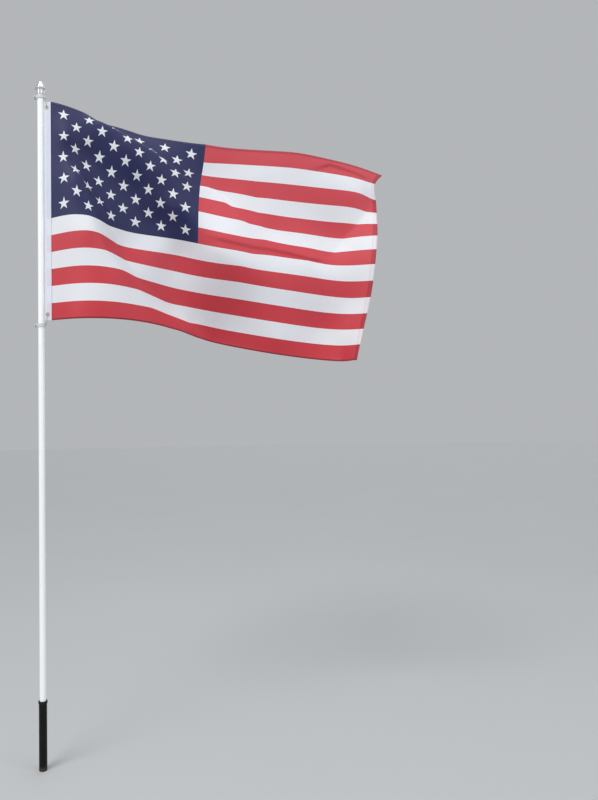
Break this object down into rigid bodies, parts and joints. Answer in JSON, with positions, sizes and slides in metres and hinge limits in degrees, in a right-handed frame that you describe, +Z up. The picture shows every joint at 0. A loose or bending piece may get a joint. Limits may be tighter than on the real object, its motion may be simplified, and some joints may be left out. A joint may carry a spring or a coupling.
{
  "type": "flagpole with ground sleeve and flag",
  "caption": "Sectional white flagpole in a black driven ground sleeve, with acorn finial, clamp rings, wire clips and a striped flag with a starred corner.",
  "frame": {"origin": "on the pole's axis at ground level, where the sleeve enters the ground", "axes": "+Z up along the pole, +X the way the flag flies, -Y towards the picture's camera"},
  "size_m": [1.5083, 0.3327, 3.0015],
  "materials": {
    "pole_white": "gloss powder coat",
    "sleeve_black": "gloss black",
    "point_black": "satin moulded",
    "collar_black": "satin moulded",
    "finial_chrome": "bright plated",
    "ring_plastic": "moulded, slightly milky",
    "knob_plastic": "moulded, natural",
    "screw_steel": "zinc plated",
    "screw_black": "blackened",
    "wire_steel": "drawn wire",
    "flag_cloth": "woven nylon",
    "header_canvas": "canvas duck",
    "grommet_brass": "polished, slightly dulled"
  },
  "bodies": {
    "ground_sleeve": {"sleeve_tube": "sleeve_black", "drive_point": "point_black", "point_screw": "screw_black"},
    "collar": {"sleeve_collar": "collar_black"},
    "lower_pole": {"lower_section": "pole_white"},
    "middle_pole": {"middle_section": "pole_white"},
    "upper_pole": {"upper_section": "pole_white", "finial": "finial_chrome", "top_ring": "ring_plastic", "top_thumbscrew": "knob_plastic", "top_ring_nut": "screw_steel", "top_clip": "wire_steel", "bottom_ring": "ring_plastic", "bottom_thumbscrew": "knob_plastic", "bottom_ring_nut": "screw_steel", "bottom_clip": "wire_steel", "flag_header": "header_canvas", "flag_cloth": "flag_cloth", "top_grommet": "grommet_brass", "bottom_grommet": "grommet_brass"}
  },
  "joints": [
    {"name": "pole_turn", "type": "hinge", "parent": "ground_sleeve", "child": "collar", "pos_m": [0, 0, 0.254], "axis": [0, 0, 1], "continuous": true},
    {"name": "pole_lift", "type": "slide", "parent": "collar", "child": "lower_pole", "axis": [0, 0, 1], "range_m": [0, 0.46]},
    {"name": "middle_pull", "type": "slide", "parent": "lower_pole", "child": "middle_pole", "axis": [0, 0, 1], "range_m": [0, 0.06]},
    {"name": "upper_pull", "type": "slide", "parent": "middle_pole", "child": "upper_pole", "axis": [0, 0, 1], "range_m": [0, 0.06]}
  ]
}
